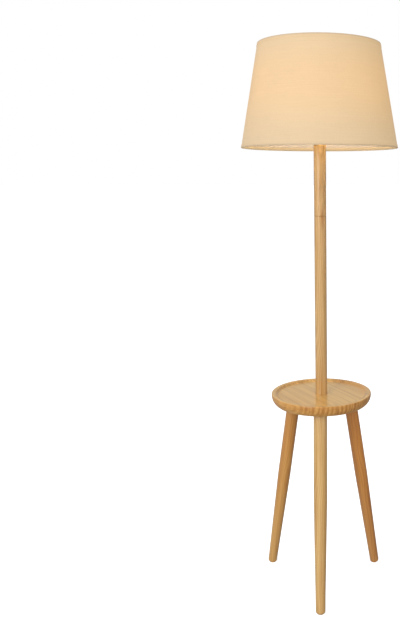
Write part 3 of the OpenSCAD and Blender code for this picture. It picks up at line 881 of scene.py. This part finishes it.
def make_fabric(material):
    """The cone of cloth, with soft waves that die out towards its edges and its seam."""
    wall, low, high = wall_line()
    inner, outer = radii("shade_fabric", low)
    thick = outer - inner
    heights = spread(low, high, FABRIC_ROWS)

    def section(angle):
        away = (1 - math.cos(angle - SEAM_TURN)) / 2
        front = []
        for z in heights:
            t = (z - low) / (high - low)
            sway = CLOTH_SWAY * math.sin(TAU * t + angle)
            wave = 0.5 + 0.5 * math.sin(CLOTH_WAVES * angle + sway)
            front.append((wall(z) + CLOTH_WAVE * wave * away * math.sin(math.pi * t), z))
        return front + [(r - thick, z) for r, z in front[::-1]]

    piece = swept("shade_cloth", section, turn_angles(HEM_STEPS))
    return add(piece, material, "shade_fabric", "shade", "shade_fabric")


def hem_section(node, edge, inward, reach):
    """A tape folded over the shade's edge: up the outside, round, and up the inside by reach."""
    wall = wall_line()[0]
    low, high = (corner.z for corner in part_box(node))
    height = high - low
    inside, outside = radii(node, edge)
    half = HEM_THICK / 2
    outer = outside - half
    inner = inside + half
    bend = HEM_THICK
    cut = HEM_FOLD_CUT * bend
    slope = (wall(edge + 10 * MM) - wall(edge)) / (10 * MM)
    mid = edge + inward * half

    def at(r, rise):
        return r + slope * inward * rise, mid + inward * rise

    path = [at(outer, height - half), at(outer, height / 2), at(outer, bend)]
    path += [at(outer - cut, cut), at(outer - bend, 0)]
    path += [at((outer + inner) / 2, 0), at(inner + bend, 0), at(inner + cut, cut)]
    path += [at(inner, bend), at(inner, bend + (height - bend) * reach / 2)]
    path.append(at(inner, bend + (height - half - bend) * reach))
    return ribbon(path, HEM_THICK)


def arm_angles():
    """The directions of the carrier's arms, to the nearest 30 degrees, from their outer ends."""
    points = [v.co for v in nodes["carrier_arms"].data.vertices]
    far = max(p.xy.length for p in points)
    found = []
    for p in points:
        if p.xy.length > far - ARM_TIP:
            angle = math.atan2(p.y, p.x)
            if not any(abs(angle - other) < ARMS_APART for other in found):
                found.append(angle)
    return [round(angle / ARM_TURN) * ARM_TURN for angle in found]


def make_hems(material):
    """The two tapes. Inside, the bottom one is cut short where an arm reaches the wire."""
    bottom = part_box("shade_bottom_hem")[0].z
    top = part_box("shade_top_hem")[1].z
    whole = hem_section("shade_bottom_hem", bottom, 1, 1)
    cut = hem_section("shade_bottom_hem", bottom, 1, NOTCH_REACH)
    half = NOTCH_HALF_WIDTH / radii("shade_bottom_hem", bottom)[0]
    arms = [angle % TAU for angle in arm_angles()]
    angles = set(turn_angles(HEM_STEPS))
    for arm in arms:
        angles |= {(arm + side * half * share) % TAU for side in (-1, 1) for share in NOTCH_EDGES}

    def section(angle):
        gap = min(abs((angle - arm + math.pi) % TAU - math.pi) for arm in arms)
        return cut if gap < half else whole

    below = swept("bottom_hem_tape", section, sorted(angles))
    above = turned("top_hem_tape", hem_section("shade_top_hem", top, -1, 1), HEM_STEPS)
    return [
        add(below, material, "hem_fabric", "shade", "shade_bottom_hem"),
        add(above, material, "hem_fabric", "shade", "shade_top_hem"),
    ]


def make_seam(material):
    """The lap at the back, a strip with soft edges."""
    wall = wall_line()[0]
    low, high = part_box("shade_seam")
    inner, outer = radii("shade_seam", low.z)
    half = high.x / outer
    lift, thick = outer - wall(low.z), outer - inner
    heights = spread(low.z, high.z, SEAM_ROWS)

    def section(angle):
        side = abs(angle - SEAM_TURN) / half
        crown = lift - SEAM_SAG * thick * ease(side, SEAM_SAGS_FROM, 1)
        front = [(wall(z) + crown, z) for z in heights]
        return front + [(wall(z) + lift - thick, z) for z in heights[::-1]]

    angles = turn_angles(SEAM_COLUMNS, SEAM_TURN - half, 2 * half)
    piece = swept("seam_strip", section, angles, whole=False)
    return add(piece, material, "hem_fabric", "shade", "shade_seam")


def weld_bead(name, places, material):
    """Small uneven beads of weld, all in one piece."""
    points, faces = [], []
    for place in places:
        first = len(points)
        for i in range(WELD_ROWS + 1):
            tilt = math.pi * i / WELD_ROWS
            for turn in turn_angles(WELD_COLUMNS):
                uneven = WELD_UNEVEN * math.sin(3 * turn + 2 * tilt + place.x * 90)
                ray = Vector((math.cos(turn), math.sin(turn), 0)) * math.sin(tilt)
                ray.z = math.cos(tilt)
                points.append(place + ray * (WELD_RADIUS * (1 + uneven)))
        for i in range(WELD_ROWS):
            a, b = first + i * WELD_COLUMNS, first + (i + 1) * WELD_COLUMNS
            for j in range(WELD_COLUMNS):
                k = (j + 1) % WELD_COLUMNS
                faces.append((a + j, b + j, b + k, a + k))
    add(solid(name, points, faces, WELD_SHARP_EDGE), material, "frame_paint", "shade")


def make_welds(material):
    """The beads at the arms' two ends, on the carrier ring and on the bottom wire."""
    arms = [v.co for v in nodes["carrier_arms"].data.vertices]
    near = min(p.xy.length for p in arms)
    far = max(p.xy.length for p in arms)
    for name, end, inset in (("inner_welds", near, 0.0), ("outer_welds", far, WELD_INSET)):
        ring = [p for p in arms if abs(p.xy.length - end) < WELD_REACH]
        height = sum(p.z for p in ring) / len(ring)
        r = end - inset
        places = [Vector((r * math.cos(a), r * math.sin(a), height)) for a in arm_angles()]
        weld_bead(name, places, material)


def declare_cloth():
    """The fabric is cut as a sector of a ring. This reads the radius at its two ends and does nothing
    more with them.
    """
    wall, low, high = wall_line()
    bottom_r, top_r = wall(low), wall(high)


def make_shade():
    paint = finish(
        "frame_paint", (0.78, 0.77, 0.74), (0.86, 0.85, 0.83), 60, (0.32, 0.45),
        relief=0.05 * MM, relief_scale=1400,
    )
    dress_nodes(("carrier_ring", "carrier_arms", "shade_bottom_wire", "shade_top_wire"), paint)
    make_welds(paint)
    through = (0.53, 0.43, 0.30)
    fabric = make_fabric(cloth("shade_cloth", (0.60, 0.525, 0.43), (0.53, 0.455, 0.36), through))
    tape = cloth("hem_tape", (0.58, 0.505, 0.41), (0.51, 0.435, 0.34), through)
    trim = [*make_hems(tape), make_seam(tape)]
    liner = finish(
        "liner_film", (0.62, 0.57, 0.51), (0.66, 0.61, 0.55), 8, (0.4, 0.5),
        relief=0.04 * MM, relief_scale=500,
    )
    dress(nodes["shade_liner"], liner)
    declare_cloth()


# The lampholder


def ribbed_ring(name, node, material):
    """A clamp ring with grip ribs round its edge and eased corners."""
    low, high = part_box(node)
    bore, outer = radii(node, low.z)
    corners = [(bore, low.z), (outer, low.z), (outer, high.z), (bore, high.z)]
    plain = rounded(corners, RING_ROUND)
    limit = outer - RIB_INSET

    def section(angle):
        dip = RIB_DEPTH * flute(angle, RIB_COUNT, 2)
        return [(r - dip * ease(r, limit - MM, limit), z) for r, z in plain]

    piece = swept(name, section, turn_angles(RIB_COUNT * RIB_STEPS))
    add(piece, material, "holder_plastic", "stand", node)


def make_skirt(material):
    """The lampholder's threaded sleeve, with its flange below and its lip above."""
    low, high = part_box("holder_skirt")
    bore, flange = radii("holder_skirt", low.z)
    lip, crest = radii("holder_skirt", high.z)
    flange_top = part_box("lower_shade_ring")[0].z
    lip_low = high.z - SKIRT_LIP
    heights = spread(flange_top, high.z - SKIRT_CHAMFER, TURN_STEPS)
    start, end = flange_top + SKIRT_THREAD_ENDS[0], high.z - SKIRT_THREAD_ENDS[1]
    eased = rounded([(bore, low.z), (flange, low.z), (flange, flange_top)], SKIRT_CHAMFER)
    # The bore's corner stays sharp.
    foot = [(bore, low.z), *eased[ROUND_STEPS + 1:]]
    top = [(crest - SKIRT_CHAMFER, high.z), (lip, high.z), (lip, lip_low), (bore, lip_low)]

    def section(angle):
        thread = []
        for z in heights:
            root = thread_wave(angle, z, SKIRT_PITCH) * thread_run(z, start, end)
            thread.append((crest - SKIRT_THREAD_DEPTH * root, z))
        return [*foot, *thread, *top]

    piece = swept("threaded_skirt", section, turn_angles(TURN_STEPS))
    add(piece, material, "holder_plastic", "stand", "holder_skirt")


def thread_pitch():
    """How far the bulb rises in one turn, from the coupling of its two joints."""
    (coupling,) = frame["record"]["behaviour"]["couplings"]
    return coupling["ratio"] * TAU


def make_screw_shell(material):
    """The brass shell, with the thread that holds the bulb's cap, and its riveted flange."""
    pitch = thread_pitch()
    low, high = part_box("screw_shell")
    flange = radii("screw_shell", low.z)[0]
    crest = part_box("bulb_cap")[1].x + CAP_THREAD_CLEARANCE
    foot = low.z + SHELL_WALL
    start, end = foot + SHELL_THREAD_END, high.z - SHELL_THREAD_END

    def section(angle):
        inner = [(flange, foot), (crest, foot)]
        for z in spread(start, end, SHELL_ROWS):
            root = thread_wave(angle, z, pitch) * thread_run(z, start, end)
            inner.append((crest - CAP_THREAD_DEPTH * root, z))
        inner.append((crest, high.z))
        outer = [(r + SHELL_WALL, z) for r, z in inner[2:]]
        return [(flange, low.z), (crest + SHELL_WALL, low.z), *outer, *inner[::-1]]

    piece = swept("threaded_shell", section, turn_angles(TURN_STEPS))
    add(piece, material, "brass", "stand", "screw_shell")


def make_holder():
    plastic = finish(
        "holder_plastic", (0.82, 0.81, 0.78), (0.87, 0.86, 0.84), 45, (0.38, 0.5),
        relief=0.03 * MM, relief_scale=1600,
    )
    ceramic = finish(
        "holder_ceramic", (0.80, 0.78, 0.73), (0.88, 0.87, 0.83), 120, (0.15, 0.3),
        relief=0.06 * MM, relief_scale=350, Coat_Weight=0.5,
    )
    brass = finish(
        "brass", (0.62, 0.40, 0.13), (0.80, 0.58, 0.25), (80, 80, 600), (0.22, 0.4),
        relief=0.02 * MM, relief_scale=(90, 90, 2500), Metallic=1.0,
    )
    dress(nodes["holder_cap"], plastic)
    dress(nodes["holder_core"], ceramic)
    dress_nodes((
        "terminal_screws", "centre_contact", "leg_inserts", "pole_foot_insert",
        "lower_joint_insert", "upper_joint_insert", "pole_top_insert",
    ), brass)
    make_skirt(plastic)
    ribbed_ring("lower_clamp_ring", "lower_shade_ring", plastic)
    ribbed_ring("upper_clamp_ring", "upper_shade_ring", plastic)
    make_screw_shell(brass)


# The bulb


def make_bulb_cap(material):
    """The bulb's threaded cap. Its foot is drawn in, and its top is plain for the housing's neck."""
    pitch = thread_pitch()
    low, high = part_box("bulb_cap")
    crest = high.x

    def section(angle):
        outer = []
        for z in spread(low.z, high.z, TURN_STEPS):
            foot = 1 - ease(z, *(low.z + end for end in CAP_FOOT_ENDS))
            plain = ease(z, *(high.z - end for end in CAP_NECK_ENDS))
            root = thread_wave(angle, z, pitch) * (1 - plain) * (1 - foot)
            outer.append((crest - CAP_THREAD_DEPTH * (root + foot), z))
        return outer + [(r - CAP_WALL, z) for r, z in outer[::-1]]

    piece = swept("threaded_cap", section, turn_angles(TURN_STEPS))
    add(piece, material, "cap_metal", "bulb", "bulb_cap")


def make_insulator(material):
    """The black glass between the bulb's cap and its tip: a stepped cone."""
    low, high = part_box("bulb_insulator")
    tip = radii("bulb_insulator", low.z)[1]
    cap_low, cap_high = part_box("bulb_cap")
    rim = cap_high.x - CAP_THREAD_DEPTH - CAP_WALL - GLASS_GAP
    middle = (tip + rim) / 2
    waist = (low.z + cap_low.z) / 2 - GLASS_STEP_DROP
    step = [(middle, waist), (middle + GLASS_STEP[0], waist + GLASS_STEP[1])]
    outline = [(0, low.z), (tip, low.z), *step, (rim, cap_low.z - GLASS_GAP)]
    piece = turned("insulator_glass", [*outline, (rim, high.z), (0, high.z)])
    add(piece, material, "black_glass", "bulb_core", "bulb_insulator")


def make_housing(material):
    """The bulb's flared body, a smooth shell from its neck in the cap to the globe's rim."""
    low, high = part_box("bulb_housing")
    neck_in, neck_out = radii("bulb_housing", low.z)
    rim_in, rim_out = radii("bulb_housing", high.z)
    wall = rim_out - rim_in
    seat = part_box("bulb_cap")[1]
    flare = []
    for z in spread(seat.z, high.z, HOUSING_ROWS):
        t = (z - seat.z) / (high.z - seat.z)
        flare.append((seat.x + (rim_out - seat.x) * math.sin(TAU / 4 * t), z))
    inside = [(r - wall, z) for r, z in flare[::-1]]
    neck = [(neck_in, low.z), (neck_out, low.z), (neck_out, seat.z)]
    piece = turned("flared_housing", [*neck, *flare, *inside, (neck_in, seat.z + wall)])
    add(piece, material, "housing_plastic", "bulb", "bulb_housing")


def make_bulb():
    white = finish(
        "housing_plastic", (0.80, 0.79, 0.77), (0.86, 0.85, 0.84), 40, (0.35, 0.45),
        relief=0.03 * MM, relief_scale=1800,
    )
    nickel = finish(
        "cap_metal", (0.60, 0.59, 0.57), (0.74, 0.73, 0.71), (70, 70, 500), (0.22, 0.38),
        relief=0.02 * MM, relief_scale=(90, 90, 2500), Metallic=1.0,
    )
    glass = finish("black_glass", (0.01, 0.01, 0.012), (0.03, 0.03, 0.035), 300, (0.1, 0.2))
    solder = finish(
        "tip_solder", (0.48, 0.48, 0.47), (0.66, 0.66, 0.65), 400, (0.3, 0.5),
        relief=0.1 * MM, relief_scale=700, Metallic=1.0,
    )
    board = finish(
        "board_metal", (0.62, 0.63, 0.64), (0.74, 0.75, 0.76), 200, (0.35, 0.5),
        relief=0.02 * MM, relief_scale=(2500, 60, 60), Metallic=1.0,
    )
    chips = finish(
        "chip_phosphor", (0.86, 0.66, 0.12), (0.95, 0.8, 0.25), 900, (0.5, 0.65),
        relief=0.03 * MM, relief_scale=2500,
    )
    make_bulb_cap(nickel)
    make_insulator(glass)
    make_housing(white)
    dress(nodes["bulb_globe"], opal("globe_plastic"))
    nodes["bulb_globe"].visible_shadow = False
    dress(nodes["bulb_contact"], solder)
    dress(nodes["led_board"], board)
    dress(nodes["led_chips"], chips)
    dress(nodes["bulb_driver"], circuit("driver_board"))


# The fastening under the tray, and the steel tubes and washers


def hex_nut(material):
    """The nut that holds the pole, with chamfered corners."""
    low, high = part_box("base_nut")
    bore = radii("base_nut", low.z)[0]
    corner = high.x
    flat = corner * math.cos(TAU / 12)
    face = flat * NUT_FACE
    drop = (corner - face) * math.tan(NUT_CHAMFER)
    eased = bore + NUT_MOUTH

    def section(angle):
        side = angle % (TAU / 6) - TAU / 12
        r = flat / math.cos(side)
        edge = (r - face) / (corner - face) * drop
        return [
            (bore, low.z + NUT_MOUTH), (eased, low.z), (face, low.z), (r, low.z + edge),
            (r, high.z - edge), (face, high.z), (eased, high.z), (bore, high.z - NUT_MOUTH),
        ]

    piece = swept("chamfered_nut", section, turn_angles(NUT_STEPS))
    add(piece, material, "zinc_steel", "stand", "base_nut")


def cord_gland(material):
    """The gland under the nut: a fluted collar and a tapered nose with a smooth mouth."""
    low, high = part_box("cord_gland")
    bore, nose = radii("cord_gland", low.z)
    seat, collar = radii("cord_gland", high.z)
    collar_z = high.z - GLAND_COLLAR
    ledge_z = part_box("base_tube")[0].z - GLAND_GAP
    tapered = [
        (bore + GLAND_ROUND, low.z), (nose - GLAND_CHAMFER, low.z), (nose, low.z + GLAND_CHAMFER),
        (collar - GLAND_TAPER, collar_z - GLAND_ROUND), (collar - GLAND_CHAMFER, collar_z),
    ]
    hollow = [
        (collar - GLAND_ROUND, high.z), (seat, high.z), (seat, ledge_z), (bore, ledge_z),
        (bore, low.z + GLAND_ROUND),
    ]

    def section(angle):
        dip = GLAND_FLUTE_DEPTH * flute(angle, GLAND_FLUTES, 3)
        fluted = [(collar - dip, collar_z + GLAND_CHAMFER), (collar - dip, high.z - GLAND_ROUND)]
        return [*tapered, *fluted, *hollow]

    piece = swept("fluted_gland", section, turn_angles(GLAND_FLUTES * GLAND_FLUTE_STEPS))
    add(piece, material, "gland_plastic", "stand", "cord_gland")


def make_fastening():
    zinc = finish(
        "zinc_steel", (0.50, 0.51, 0.53), (0.68, 0.69, 0.70), 140, (0.28, 0.48),
        relief=0.03 * MM, relief_scale=900, Metallic=1.0,
    )
    black = finish(
        "gland_plastic", (0.03, 0.03, 0.032), (0.06, 0.06, 0.062), 60, (0.42, 0.58),
        relief=0.05 * MM, relief_scale=1500,
    )
    dress_nodes((
        "leg_bolts", "pole_joiner", "base_tube", "holder_tube", "base_washer", "seat_washer",
    ), zinc)
    hex_nut(zinc)
    cord_gland(black)


make_stage()
dress_legs()
dress_pole()
dress_tray()
make_shade()
make_holder()
make_bulb()
make_fastening()
